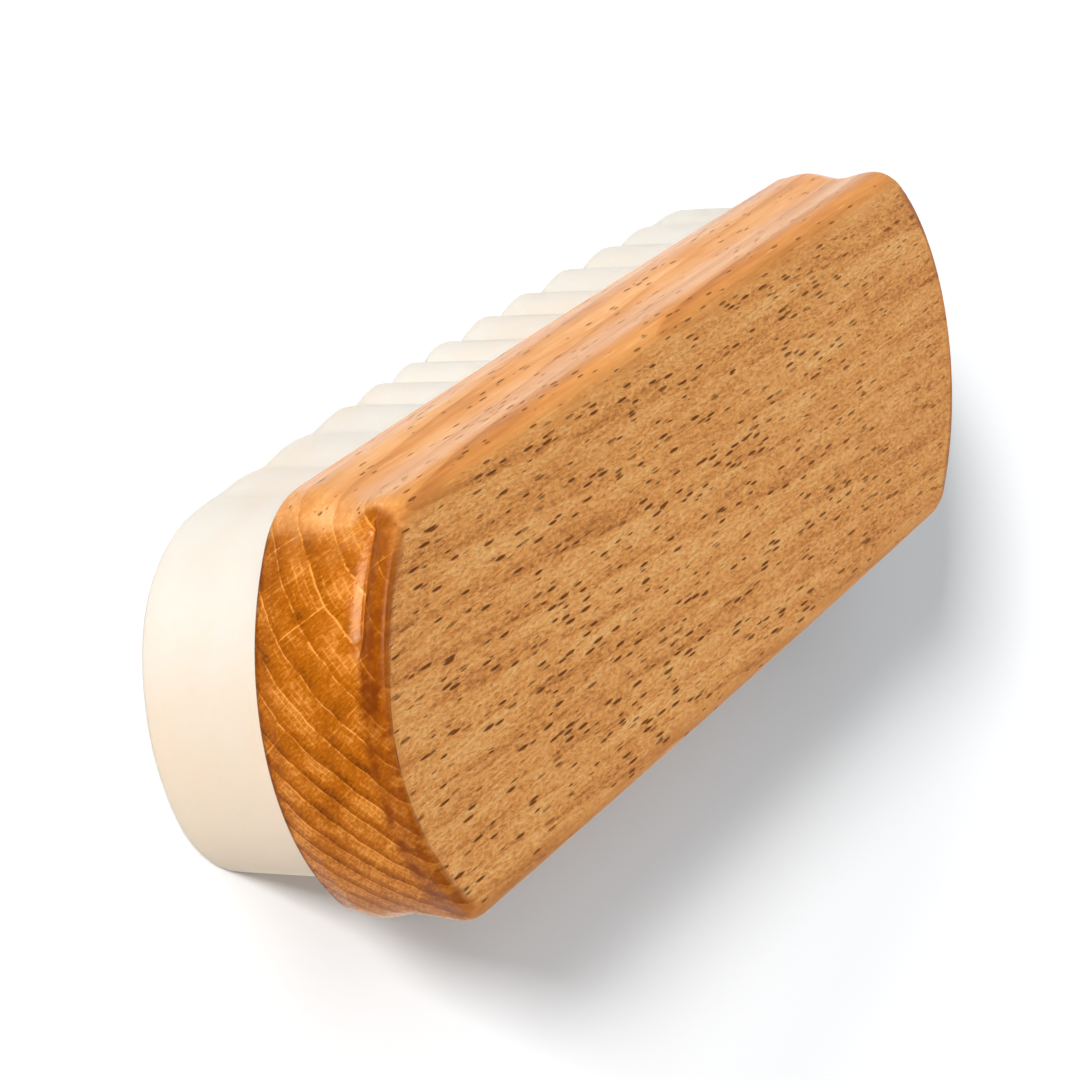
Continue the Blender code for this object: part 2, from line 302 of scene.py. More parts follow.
def node(tree, kind, inputs=None, **settings):
    """A new shader node. Each input is a plain value or another node's output."""
    made = tree.nodes.new("ShaderNode" + kind)
    for key, value in settings.items():
        setattr(made, key, value)
    for key, value in (inputs or {}).items():
        if isinstance(value, bpy.types.NodeSocket):
            tree.links.new(value, made.inputs[key])
        else:
            made.inputs[key].default_value = value
    return made


def calc(tree, operation, *values):
    """The result of a sum on numbers."""
    return node(tree, "Math", dict(enumerate(values)), operation=operation).outputs[0]


def plus(tree, first, second):
    return calc(tree, "ADD", first, second)


def minus(tree, first, second):
    return calc(tree, "SUBTRACT", first, second)


def times(tree, first, second):
    return calc(tree, "MULTIPLY", first, second)


def vector_calc(tree, operation, *values):
    """The result of a sum on places."""
    return node(tree, "VectorMath", dict(enumerate(values)), operation=operation).outputs[0]


def axes(tree, place):
    """A place's x, y and z."""
    return node(tree, "SeparateXYZ", {0: place}).outputs


def joined(tree, x=0.0, y=0.0, z=0.0):
    """A place from its x, y and z."""
    return node(tree, "CombineXYZ", {0: x, 1: y, 2: z}).outputs[0]


def step_between(tree, value, low, high, start=0.0, end=1.0):
    """A smooth step from start to end as the value goes from low to high."""
    inputs = {0: value, 1: low, 2: high, 3: start, 4: end}
    return node(tree, "MapRange", inputs, interpolation_type="SMOOTHSTEP").outputs[0]


def between(tree, share, start, end):
    """A smooth step from start to end as a share goes from 0 to 1."""
    return step_between(tree, share, 0.0, 1.0, start, end)


def mixed(tree, share, first, second):
    """A colour between two, by a share from 0 to 1. Mix has its colours at inputs 6 and 7 and output 2."""
    return node(tree, "Mix", {0: share, 6: first, 7: second}, data_type="RGBA").outputs[2]


def three_tones(tree, share, tones):
    """A ramp from the first tone through the second to the third."""
    dark, middle, pale = (srgb(tone) for tone in tones)
    ramp = node(tree, "ValToRGB", {0: share})
    ramp.color_ramp.elements[0].color = dark
    ramp.color_ramp.elements[1].color = pale
    ramp.color_ramp.elements.new(0.5).color = middle
    return ramp.outputs[0]


def millimetres(tree):
    """The object's own coordinates in millimetres."""
    place = node(tree, "TexCoord").outputs["Object"]
    return node(tree, "VectorMath", {0: place, 3: 1 / MM}, operation="SCALE").outputs[0]


def turned_flat(tree, place, angle, center=(0, 0, 0)):
    """Coordinates turned in the block's plan."""
    inputs = {"Vector": place, "Axis": (0, 0, 1), "Angle": angle, "Center": center}
    return node(tree, "VectorRotate", inputs, rotation_type="AXIS_ANGLE").outputs[0]


def stretched(tree, place, lengths):
    """Coordinates divided by a length along each axis."""
    return vector_calc(tree, "DIVIDE", place, lengths)


def distance(tree, place):
    """How far a place lies from 0."""
    return node(tree, "VectorMath", {0: place}, operation="LENGTH").outputs["Value"]


def cloud(tree, place, lengths, detail=3.0, roughness=0.55):
    """Noise whose spots have the given lengths along each axis."""
    inputs = {
        "Vector": stretched(tree, place, lengths),
        "Scale": 1.0,
        "Detail": detail,
        "Roughness": roughness,
    }
    return node(tree, "TexNoise", inputs).outputs[0]


def cells(tree, inputs, **settings):
    """Cells round random points: the distance to the nearest point, and its cell's random numbers."""
    made = node(tree, "TexVoronoi", {**inputs, "Scale": 1.0}, **settings)
    return made.outputs["Distance"], node(tree, "SeparateColor", {0: made.outputs["Color"]}).outputs


def centred(tree, value, strength):
    """Noise around one half, as a number around 0."""
    return times(tree, minus(tree, value, 0.5), strength)


def bumped(tree, shader, height, relief, strength=1.0):
    """Bumps in a shader's surface."""
    bump = node(tree, "Bump", {"Height": height, "Distance": relief, "Strength": strength})
    tree.links.new(bump.outputs[0], shader.inputs["Normal"])


# The beech.


def trunk(tree, place):
    """Coordinates round the pith, in millimetres: outwards, round the rings, and along the grain."""
    turned = turned_flat(tree, place, -PITH_TURN, (-END_TIP, PITH_ASIDE, 0))
    along, aside, above = axes(tree, vector_calc(tree, "SUBTRACT", turned, (0, PITH_ASIDE, PITH_ABOVE)))
    radius = distance(tree, joined(tree, y=aside, z=above))
    angle = calc(tree, "ARCTAN2", aside, above)
    return joined(tree, radius, times(tree, angle, PITH_DISTANCE), along)


def ring_phase(tree, place, round_pith):
    """The place between one ring's edge and the next, from 0 to 1. The rings lie closer further out."""
    slow = centred(tree, cloud(tree, place, RING_SWAY, 1.0), 1.6)
    fine = centred(tree, cloud(tree, place, RING_RIPPLE, 2.0), 0.6)
    radius = plus(tree, axes(tree, round_pith)[0], plus(tree, slow, fine))
    left = calc(tree, "DIVIDE", minus(tree, RING_LIMIT, radius), RING_START)
    folds = calc(tree, "LOGARITHM", calc(tree, "MAXIMUM", left, 0.01), math.e)
    return calc(tree, "FRACT", times(tree, folds, -RINGS_PER_FOLD))


def thin_line(tree, value, width):
    """1 where a value that runs from 0 to 1 crosses its ends, fading over a width to either side."""
    away = calc(tree, "MINIMUM", value, minus(tree, 1.0, value))
    return step_between(tree, away, width, 0.0)


def ray_lines(tree, round_pith):
    """Rays from the pith outwards, seen as fine broken pale lines across the rings on the end grain."""
    sway = centred(tree, cloud(tree, round_pith, RAY_SWAY, 1.0), 0.9)
    around = calc(tree, "DIVIDE", plus(tree, axes(tree, round_pith)[1], sway), RAY_SPACING)
    away, pick = cells(tree, {"W": around}, voronoi_dimensions="1D")
    line = step_between(tree, away, 0.052, 0.012)
    line = times(tree, line, step_between(tree, pick[0], 0.0, 0.6, 0.4, 1.0))
    broken = step_between(tree, cloud(tree, round_pith, RAY_BREAKS, 2.0), 0.46, 0.62)
    return times(tree, line, broken)


def flecks(tree, place, large):
    """The short dark dashes of beech, nearly along the grain, as a mask from 0 to 1."""
    turned = turned_flat(tree, place, FLECK_TURN)
    bend = centred(tree, cloud(tree, place, FLECK_BEND, 1.0), 0.20)
    turned = vector_calc(tree, "ADD", turned, joined(tree, y=bend, z=bend))
    grouping = cloud(tree, turned_flat(tree, place, 2 * FLECK_TURN), FLECK_GROUPS, 2.0)
    size = times(tree, step_between(tree, grouping, 0.36, 0.56, 0.18, 0.33), large)
    away, pick = cells(tree, {"Vector": stretched(tree, turned, FLECK)})
    dash = step_between(tree, away, size, times(tree, size, 0.55))
    return times(tree, dash, step_between(tree, pick[0], 0.05, 0.45, 0.55, 1.0))


def end_rim(tree, x, y):
    """How far inside the back's bowed ends a place lies, in millimetres."""
    bow_radius = arc_radius(END_HALF_WIDTH, END_BOW / MM)
    past_center = minus(tree, calc(tree, "ABSOLUTE", x), END_TIP - bow_radius)
    flat = joined(tree, calc(tree, "MAXIMUM", past_center, 0.0), y)
    return minus(tree, bow_radius - (END_BEAD_INSET + END_ROLL) / MM, distance(tree, flat))


def block_faces(tree, place):
    """Masks of the end grain and of the sanded back, each from 0 to 1, and how far a place looks up."""
    x, y, _ = axes(tree, place)
    normal_x, normal_y, upwards = axes(tree, node(tree, "TexCoord").outputs["Normal"])
    outwards = calc(tree, "MAXIMUM", distance(tree, joined(tree, normal_x, normal_y)), 0.02)
    along = calc(tree, "DIVIDE", calc(tree, "ABSOLUTE", normal_x), outwards)
    blotch = cloud(tree, place, FACE_BLOTCH, 3.0)
    end = step_between(tree, plus(tree, along, centred(tree, blotch, 0.20)), *END_FACING)
    back = step_between(tree, plus(tree, upwards, centred(tree, blotch, 0.12)), *BACK_FACING)
    aside = plus(tree, calc(tree, "ABSOLUTE", y), centred(tree, blotch, 4.0))
    back = times(tree, back, step_between(tree, aside, *BACK_SIDE_CHANGE, 0.25, 1.0))
    rim = plus(tree, end_rim(tree, x, y), centred(tree, blotch, 1.6))
    back = times(tree, back, step_between(tree, rim, *BACK_END_CHANGE, 0.15, 1.0))
    return end, back, upwards


def back_wood(tree, tone, late, dark_edge, grit, streaks):
    """The sanded back: tan, with a fine pitted grain, faint rings and thin dark streaks."""
    for lines, strength in ((late, 0.13), (dark_edge, 0.05), (streaks, 0.16)):
        tone = minus(tree, tone, times(tree, lines, strength))
    tone = plus(tree, plus(tree, tone, 0.08), centred(tree, grit, 1.15))
    return three_tones(tree, tone, BACK_TONES)


def side_wood(tree, height, tone, late, dark_edge, painted_glints):
    """The lacquered sides: orange, with painted shade that makes them browner along the bead, faint rings,
    and thin pale streaks of painted highlight.
    """
    # Painted shade: the side is painted browner up along the bead.
    tone = minus(tree, tone, step_between(tree, height, BEAD_FOOT, BEAD_FOOT + 1.5, 0.0, 0.16))
    for lines, strength in ((late, 0.13), (dark_edge, 0.10)):
        tone = minus(tree, tone, times(tree, lines, strength))
    # Painted highlights: thin pale streaks lighten the side's tone.
    tone = plus(tree, plus(tree, tone, 0.08), times(tree, painted_glints, 0.30))
    return three_tones(tree, tone, SIDE_TONES)


def end_rings(tree, place, phase, lower, patches):
    """The end grain's rings: broad dark bands, broken pale lines, and finer pale lines between these."""
    band = times(tree, step_between(tree, phase, 0.42, 0.92), step_between(tree, phase, 1.0, 0.95))
    band = times(tree, band, between(tree, lower, 0.16, 0.36))
    broken = step_between(tree, cloud(tree, place, END_BREAKS), 0.36, 0.60)
    pale = times(tree, thin_line(tree, phase, 0.055), broken)
    pale = times(tree, pale, between(tree, lower, 0.44, 0.30))
    inner = thin_line(tree, calc(tree, "FRACT", times(tree, phase, 4.0)), 0.22)
    fine = times(tree, inner, step_between(tree, patches, 0.47, 0.62, 0.0, 0.20))
    return band, pale, fine


def bead_shade_and_pool(tree, place, height, color):
    """On the end: painted shade in brown smears along the bead, and a dark brown pool under it."""
    smears = cloud(tree, place, END_SMEAR, 3.0)
    # Painted shade: the end's bead is painted darker brown, in mottled smears.
    bead = step_between(tree, height, BEAD_FOOT, BEAD_FOOT + 1.0)
    bead = times(tree, bead, step_between(tree, smears, 0.34, 0.58, 0.96, 0.40))
    color = mixed(tree, bead, color, srgb(BEAD_SHADE_BROWN))
    pool = distance(tree, stretched(tree, vector_calc(tree, "SUBTRACT", place, POOL_PLACE), POOL_REACH))
    pool = step_between(tree, plus(tree, pool, centred(tree, smears, 1.2)), 1.0, 0.35, 0.0, 0.65)
    return mixed(tree, pool, color, srgb(POOL_BROWN))


def end_wood(tree, place, tone, phase, round_pith, ray_grain):
    """The end grain: pale lines for rings above, dark bands below, rays that cross them, and painted light
    that makes its lower, -Y part lighter.
    """
    _, y, height = axes(tree, place)
    patches = cloud(tree, place, END_PATCH, 2.0)
    lower = step_between(tree, plus(tree, y, centred(tree, patches, 9.0)), *END_CHANGE)
    band, pale, fine = end_rings(tree, place, phase, lower, patches)
    rays = times(tree, ray_lines(tree, round_pith), between(tree, lower, 0.46, 0.16))
    # Painted light: the end's lower, -Y part is painted lighter.
    painted_low_light = times(tree, step_between(tree, y, *END_PAINTED_LIGHT_CHANGE), 0.15)
    for share in (centred(tree, ray_grain, 0.8), centred(tree, patches, 0.7), pale, fine, rays, painted_low_light):
        tone = plus(tree, tone, share)
    tone = minus(tree, tone, band)
    speckle = centred(tree, cloud(tree, place, END_SPECKLE, 2.0), 1.6)
    corner = step_between(tree, height, *SPECKLE_HEIGHT_CHANGE)
    corner = times(tree, corner, step_between(tree, y, *SPECKLE_ASIDE_CHANGE))
    tone = plus(tree, tone, times(tree, speckle, corner))
    color = bead_shade_and_pool(tree, place, height, three_tones(tree, tone, END_TONES))
    ridge = minus(tree, plus(tree, pale, rays), times(tree, band, 0.8))
    return color, ridge


def fleck_marks(tree, place, end, back):
    """The flecks as pits and as ink: smaller and paler off the back and far along it, none on the end."""
    along = axes(tree, place)[0]
    large = times(tree, between(tree, back, 0.70, 1.0), step_between(tree, along, *FLECK_CHANGE, 1.0, 0.86))
    off_end = times(tree, end, minus(tree, 1.0, back))
    pits = times(tree, flecks(tree, place, large), step_between(tree, off_end, 0.7, 0.2))
    ink = times(tree, pits, between(tree, back, 0.66, 0.96))
    ink = times(tree, ink, step_between(tree, along, *FLECK_CHANGE, 1.0, 0.58))
    return pits, ink


def foot_stain(tree, place, height, end):
    """Where the lacquer has gathered brown along the foot of the end grain."""
    ragged = plus(tree, height, centred(tree, cloud(tree, place, FOOT_STAIN), 1.3))
    return times(tree, step_between(tree, ragged, BLOCK_FOOT + 0.65, BLOCK_FOOT + 0.15, 0.0, 0.7), end)


def wood_roughness(tree, height, upwards, end, back, pits, blotch):
    """Smooth lacquer on the mouldings, rougher on the sanded back, its rolled edge and the flecks."""
    rolled = step_between(tree, height, *ROLL_CHANGE)
    rolled = times(tree, rolled, step_between(tree, upwards, 0.0, 0.45))
    sanded = calc(tree, "MAXIMUM", rolled, back)
    rough = between(tree, sanded, LACQUER_ROUGHNESS, SANDED_ROUGHNESS)
    rough = minus(tree, rough, times(tree, end, 0.09))
    rough = plus(tree, rough, times(tree, pits, 0.25))
    return plus(tree, rough, centred(tree, blotch, 0.08))


def wood_height(tree, end, back, grit, fibre, pits, ridge, ray_grain):
    """The wood's relief: grit and fibres on the back, pits at the flecks, and ridges on the end grain."""
    relief = plus(tree, centred(tree, grit, 1.9), centred(tree, fibre, 0.3))
    relief = times(tree, relief, between(tree, back, 0.06, 1.0))
    relief = minus(tree, relief, times(tree, pits, 1.6))
    relief = plus(tree, relief, times(tree, times(tree, ridge, end), 0.06))
    return plus(tree, relief, times(tree, centred(tree, ray_grain, 0.12), end))


def beech():
    """Lacquered beech: glossy orange mouldings, a sanded tan back, rings and rays on the end grain."""
    made, tree, shader = new_material("lacquered_beech")
    place = millimetres(tree)
    height = axes(tree, place)[2]
    end, back, upwards = block_faces(tree, place)
    blotch = cloud(tree, place, BLOTCH, 3.0)
    fibre = cloud(tree, place, FIBRE, 3.0)
    vein = cloud(tree, place, VEIN, 2.0)
    grit = cloud(tree, turned_flat(tree, place, GRIT_TURN), GRIT, 2.0)
    streaks = step_between(tree, cloud(tree, place, STREAK, 2.0), 0.55, 0.70)
    # Painted highlights: where the thin pale streaks lie on the sides.
    painted_glints = step_between(tree, cloud(tree, place, PAINTED_GLINT, 2.0), 0.60, 0.74)
    round_pith = trunk(tree, place)
    ray_grain = cloud(tree, round_pith, RAY_GRAIN, 2.0)
    phase = ring_phase(tree, place, round_pith)
    dark_edge = times(tree, step_between(tree, phase, 0.80, 0.95), step_between(tree, phase, 1.0, 0.96))
    late = step_between(tree, phase, 0.25, 1.0)

    tone = plus(tree, 0.52, centred(tree, blotch, 0.5))
    tone = plus(tree, tone, centred(tree, fibre, 0.5))
    long_tone = plus(tree, tone, centred(tree, vein, 0.5))
    end_color, ridge = end_wood(tree, place, tone, phase, round_pith, ray_grain)
    pits, ink = fleck_marks(tree, place, end, back)
    color = side_wood(tree, height, long_tone, late, dark_edge, painted_glints)
    color = mixed(tree, end, color, end_color)
    color = mixed(tree, back, color, back_wood(tree, long_tone, late, dark_edge, grit, streaks))
    color = mixed(tree, ink, color, srgb(FLECK_BROWN))
    color = mixed(tree, foot_stain(tree, place, height, end), color, srgb(STAIN_BROWN))

    rough = wood_roughness(tree, height, upwards, end, back, pits, blotch)
    tree.links.new(color, shader.inputs["Base Color"])
    tree.links.new(rough, shader.inputs["Roughness"])
    shader.inputs["IOR"].default_value = LACQUER_IOR
    shader.inputs["Specular Tint"].default_value = LACQUER_TINT
    bumped(tree, shader, wood_height(tree, end, back, grit, fibre, pits, ridge, ray_grain), WOOD_RELIEF)
    return made


# The crepe and the hidden pieces.


def crepe(name, tones):
    """Natural crepe rubber: a matt, faintly mottled cream that light sinks into. Painted shade makes it
    warmer towards -Y, and painted light makes its -Y corner paler.
    """
    pale, warm, clear = (srgb(tone) for tone in tones)
    made, tree, shader = new_material(name)
    place = millimetres(tree)
    mottle = cloud(tree, place, CREPE_MOTTLE, 3.0)
    haze = cloud(tree, place, CREPE_HAZE, 2.0)
    tone = plus(tree, centred(tree, mottle, 0.7), centred(tree, haze, 1.3))
    y = axes(tree, place)[1]
    # Painted shade: the crepe is painted warmer and darker from +Y to -Y.
    tone = plus(tree, tone, step_between(tree, y, *CREPE_PAINTED_SHADE_CHANGE, -0.32, 0.42))
    color = mixed(tree, step_between(tree, tone, -0.5, 0.5), pale, warm)
    # Painted light: the crepe's -Y corner is painted paler, in the clear tone.
    color = mixed(tree, step_between(tree, y, *CREPE_PAINTED_LIGHT_CHANGE, 0.0, 0.8), color, clear)
    away, pick = cells(tree, {"Vector": stretched(tree, place, CREPE_SPECK)})
    speck = times(tree, step_between(tree, away, 0.075, 0.03), step_between(tree, pick[1], 0.80, 0.9))
    color = mixed(tree, times(tree, speck, 0.35), color, srgb(SPECK_BROWN))
    tree.links.new(color, shader.inputs["Base Color"])
    rough = plus(tree, CREPE_ROUGHNESS, centred(tree, mottle, 0.25))
    tree.links.new(rough, shader.inputs["Roughness"])
    shader.inputs["Subsurface Weight"].default_value = CREPE_GLOW
    shader.inputs["Subsurface Radius"].default_value = CREPE_GLOW_COLOR
    shader.inputs["Subsurface Scale"].default_value = CREPE_GLOW_DEPTH
    shader.inputs["Specular IOR Level"].default_value = CREPE_SHINE
    grain = centred(tree, cloud(tree, place, CREPE_GRAIN, 3.0), 0.5)
    bumped(tree, shader, plus(tree, grain, centred(tree, mottle, 1.0)), CREPE_RELIEF, 0.6)
    return made


def steel():
    """Bright drawn steel with a fine turned grain."""
    made, tree, shader = new_material("tack_steel")
    place = millimetres(tree)
    scratch = cloud(tree, place, STEEL_SCRATCH, 3.0)
    patina = cloud(tree, place, STEEL_PATINA, 2.0)
    color = mixed(tree, patina, srgb(STEEL_DULL), srgb(STEEL_BRIGHT))
    tree.links.new(color, shader.inputs["Base Color"])
    tree.links.new(step_between(tree, scratch, 0.3, 0.7, 0.24, 0.46), shader.inputs["Roughness"])
    shader.inputs["Metallic"].default_value = 1.0
    bumped(tree, shader, scratch, STEEL_RELIEF, 0.5)
    return made


# Outlines.


def arc_radius(half_chord, bow):
    """The radius of an arc that stands out by bow over its chord."""
    return (half_chord**2 + bow**2) / (2 * bow)


def plan_quarter(length, width, end_bow, side_bow, corner):
    """(x, y, normal x, normal y) from the tip of the end round to the middle of the side."""
    end_radius = arc_radius(width / 2, end_bow)
    side_radius = arc_radius(length / 2, side_bow)
    end_center = Vector((length / 2 - end_radius, 0.0))
    side_center = Vector((0.0, width / 2 - side_radius))
    # The corner's circle touches both arcs from within, which gives its centre's distance to each of theirs.
    reach_end = end_radius - corner
    reach_side = side_radius - corner
    span = (side_center - end_center).length
    along = (reach_end**2 - reach_side**2 + span**2) / (2 * span)
    aside = math.sqrt(reach_end**2 - along**2)
    unit = (side_center - end_center) / span
    fillet = end_center + unit * along + Vector((-unit.y, unit.x)) * aside
    end_turn = math.atan2(fillet.y - end_center.y, fillet.x - end_center.x)
    side_turn = math.atan2(fillet.y - side_center.y, fillet.x - side_center.x)
    arcs = (
        (end_center, end_radius, 0.0, end_turn, END_STEPS),
        (fillet, corner, end_turn, side_turn, CORNER_STEPS),
        (side_center, side_radius, side_turn, math.pi / 2, SIDE_STEPS),
    )
    points = []
    for center, radius, first, last, steps in arcs:
        for i in range(steps):
            angle = first + (last - first) * i / steps
            nx, ny = math.cos(angle), math.sin(angle)
            points.append((center.x + radius * nx, center.y + radius * ny, nx, ny))
    points.append((0.0, width / 2, 0.0, 1.0))
    return points


def upper_half(quarter):
    """From the tip at +X over the +Y side to the tip at -X."""
    return quarter + [(-x, y, -nx, ny) for x, y, nx, ny in reversed(quarter[:-1])]


def eased(knots, height):
    """A smooth curve through (height, inset) knots, level at each of them."""
    for (low, first), (high, last) in zip(knots, knots[1:]):
        if height <= high:
            share = (height - low) / (high - low)
            return first + (last - first) * (1 - math.cos(math.pi * share)) / 2
    return knots[-1][1]


def quarter_round(share):
    """0 at share 0 and 1 at share 1, level at first and steep at last."""
    return 1 - math.sqrt(max(1 - min(share, 1.0) ** 2, 0.0))


# The block.


def side_inset(height, thickness):
    """The side's profile: the belly, the cove, and the roll over into the back."""
    if height > SIDE_BEAD_HEIGHT:
        return SIDE_ROLL * quarter_round((height - SIDE_BEAD_HEIGHT) / (thickness - SIDE_BEAD_HEIGHT))
    knots = [(0.0, 0.0), (BELLY_HEIGHT, -BELLY_BULGE), (SIDE_COVE_HEIGHT, SIDE_COVE_DEPTH)]
    return eased(knots + [(SIDE_BEAD_HEIGHT, 0.0)], height)


def end_inset(height, thickness):
    """The end's profile: the belly runs into a deep crease, and a thin bead stands over it."""
    if height <= BELLY_HEIGHT:
        return eased([(0.0, 0.0), (BELLY_HEIGHT, -BELLY_BULGE)], height)
    if height <= END_CREASE_HEIGHT:
        share = END_CREASE_TURN * (height - BELLY_HEIGHT) / (END_CREASE_HEIGHT - BELLY_HEIGHT)
        depth = (END_CREASE_DEPTH + BELLY_BULGE) / quarter_round(END_CREASE_TURN)
        return depth * quarter_round(share) - BELLY_BULGE
    if height <= END_BEAD_HEIGHT:
        share = (END_BEAD_HEIGHT - height) / (END_BEAD_HEIGHT - END_CREASE_HEIGHT)
        return END_BEAD_INSET + (END_CREASE_DEPTH - END_BEAD_INSET) * quarter_round(share)
    share = (height - END_BEAD_HEIGHT) / (thickness - END_BEAD_HEIGHT)
    return END_BEAD_INSET + END_ROLL * quarter_round(share)


def plain_inset(height, thickness):
    """The end's profile where the crease has run out: the belly leans straight in to the back's edge."""
    if height <= BELLY_HEIGHT:
        return eased([(0.0, 0.0), (BELLY_HEIGHT, -BELLY_BULGE)], height)
    share = (height - BELLY_HEIGHT) / (PLAIN_ROLL_HEIGHT - BELLY_HEIGHT)
    lean = (PLAIN_LEAN + BELLY_BULGE) * min(share, 1.0) ** PLAIN_LEAN_CURVE - BELLY_BULGE
    if height <= PLAIN_ROLL_HEIGHT:
        return lean
    share = (height - PLAIN_ROLL_HEIGHT) / (thickness - PLAIN_ROLL_HEIGHT)
    return lean + (END_BEAD_INSET + END_ROLL - PLAIN_LEAN) * quarter_round(share)


def crease_share(x, y):
    """How much of the end's crease is there: the near end loses it towards its -Y corner."""
    if x > 0:
        return 1.0
    return CREASE_REST + (1 - CREASE_REST) * smoothstep(CREASE_GONE, CREASE_WHOLE, y)


def block_level(height, length, width, thickness):
    """The block's outline at a height, as (x, y) all round from the tip at +X."""
    corner = BASE_CORNER + (BACK_CORNER - BASE_CORNER) * height / thickness
    half = upper_half(plan_quarter(length, width, END_BOW, SIDE_BOW, corner))
    side = side_inset(height, thickness)
    end = end_inset(height, thickness)
    plain = plain_inset(height, thickness)
    edge = BASE_EDGE_INSET * quarter_round(1 - min(height / BASE_EDGE, 1.0))
    outline = []
    for sign, points in ((1, half), (-1, half[-2:0:-1])):
        for x, y, nx, ny in points:
            share = smoothstep(END_MOULDING_STARTS, END_MOULDING_WHOLE, abs(nx))
            end_here = plain + (end - plain) * crease_share(x, sign * y)
            inset = side + (end_here - side) * share + edge
            outline.append((x - nx * inset, sign * (y - ny * inset)))
    return outline


def skin(bm, rings):
    """Faces from each closed ring to the next."""
    for here, there in zip(rings, rings[1:]):
        for i, vert in enumerate(here):
            j = (i + 1) % len(here)
            bm.faces.new((vert, here[j], there[j], there[i]))


def cap(bm, ring, height_at, flip):
    """Closes a ring with rows that run from its +Y half to its -Y half."""
    half = len(ring) // 2
    upper = ring[: half + 1]
    lower = [ring[0]] + list(reversed(ring[half + 1 :])) + [ring[half]]
    rows = []
    for first, last in zip(upper, lower):
        if first is last:
            rows.append([first] * (CAP_ROWS + 1))
            continue
        row = [first]
        for i in range(1, CAP_ROWS):
            place = first.co.lerp(last.co, i / CAP_ROWS)
            place.z = height_at(place)
            row.append(bm.verts.new(place))
        rows.append(row + [last])
    for here, there in zip(rows, rows[1:]):
        for i in range(CAP_ROWS):
            corners = list(dict.fromkeys((here[i], there[i], there[i + 1], here[i + 1])))
            if len(corners) > 2:
                bm.faces.new(corners[::-1] if flip else corners)


def finish_piece(name, bm, look, slot, *nodes):
    """A smooth object from a bmesh that rides on the body and stands for CAD nodes."""
    bmesh.ops.recalc_face_normals(bm, faces=bm.faces)
    mesh = bpy.data.meshes.new(name)
    bm.to_mesh(mesh)
    bm.free()
    mesh.materials.append(look)
    mesh.shade_smooth()
    piece = bpy.data.objects.new(name, mesh)
    bpy.context.scene.collection.objects.link(piece)
    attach(piece, "root")
    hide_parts(*nodes)
    return piece


def block(look):
    """The beech block: one outline above the other, closed by its foot and by the sanded back."""
    low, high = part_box("wooden_block")
    length = high.x - low.x - 2 * BELLY_BULGE
    width = high.y - low.y - 2 * BELLY_BULGE
    thickness = high.z - low.z
    count = round(thickness / LEVEL_STEP)
    bm = bmesh.new()
    rings = []
    for i in range(count + 1):
        height = thickness * i / count
        outline = block_level(height, length, width, thickness)
        rings.append([bm.verts.new((x, y, low.z + height)) for x, y in outline])
    skin(bm, rings)

    def back_height(place):
        """The sanded back is flat to a few hundredths of a millimetre."""
        inside = smoothstep(0.0, BACK_WAVE_FADES, width / 2 - SIDE_ROLL - abs(place.y))
        along, across = BACK_WAVES_PER_METRE
        wave = noise.noise(Vector((place.x * along, place.y * across, BACK_WAVE_SEED)))
        return high.z - BACK_WAVE * inside * (0.5 + 0.5 * wave)

    cap(bm, rings[-1], back_height, True)
    cap(bm, rings[0], lambda place: low.z, False)
    piece = finish_piece("beech_block", bm, look, "lacquered_beech", "wooden_block")
    drill(piece, TACK_HOLE, low.z - FIT_GAP, low.z + TACK_REACH)


# The pad.


def half_width(half, x):
    """The y of an upper half outline at x."""
    for first, last in zip(half, half[1:]):
        if last[0] <= x <= first[0]:
            share = (first[0] - x) / max(first[0] - last[0], 1e-9)
            return first[1] + (last[1] - first[1]) * share
    return 0.0


def interpolated(x, places, values):
    """The value at x between known places, continued in a straight line past them."""
    upper = min(max(sum(x > place for place in places), 1), len(places) - 1)
    low, high = places[upper - 1 : upper + 1]
    first, last = values[upper - 1 : upper + 1]
    return first + (last - first) * (x - low) / (high - low)


def laid(x):
    """Where a fold lies that would lie at x if the folds were evenly spaced."""
    return interpolated(x, EVEN_PLACES, LAID_PLACES)


def evenly(x):
    """The x that laid moves to this place."""
    return interpolated(x, LAID_PLACES, EVEN_PLACES)


def flute_inset(x, side, pad_length):
    """How far the band is drawn in at x on a side, between the folds that push it out there."""
    pitch = 2 * FOLD_SPACING
    reach = pad_length / 2 - FLUTE_END_INSET
    fade = min(max((reach + pitch / 4 - abs(x)) / (pitch / 2), 0.0), 1.0)
    near = FLUTE_FADE_NEAR * smoothstep(*FLUTE_NEAR_FADES, x)
    far = FLUTE_FADE_FAR * smoothstep(*FLUTE_FAR_FADES, x)
    fade *= 1 - near - far
    crest = 0.0 if side > 0 else FOLD_SPACING
    wave = math.cos(math.pi * (evenly(x) - crest) / pitch)
    softened = math.sqrt(wave**2 + FLUTE_SOFTNESS**2) - FLUTE_SOFTNESS
    peak = math.sqrt(1 + FLUTE_SOFTNESS**2) - FLUTE_SOFTNESS
    return FLUTE_DEPTH * fade * (1 - softened / peak)


def inset_half(half, inset):
    """An upper half outline moved inwards."""
    return [(x - nx * inset, y - ny * inset, nx, ny) for x, y, nx, ny in half]


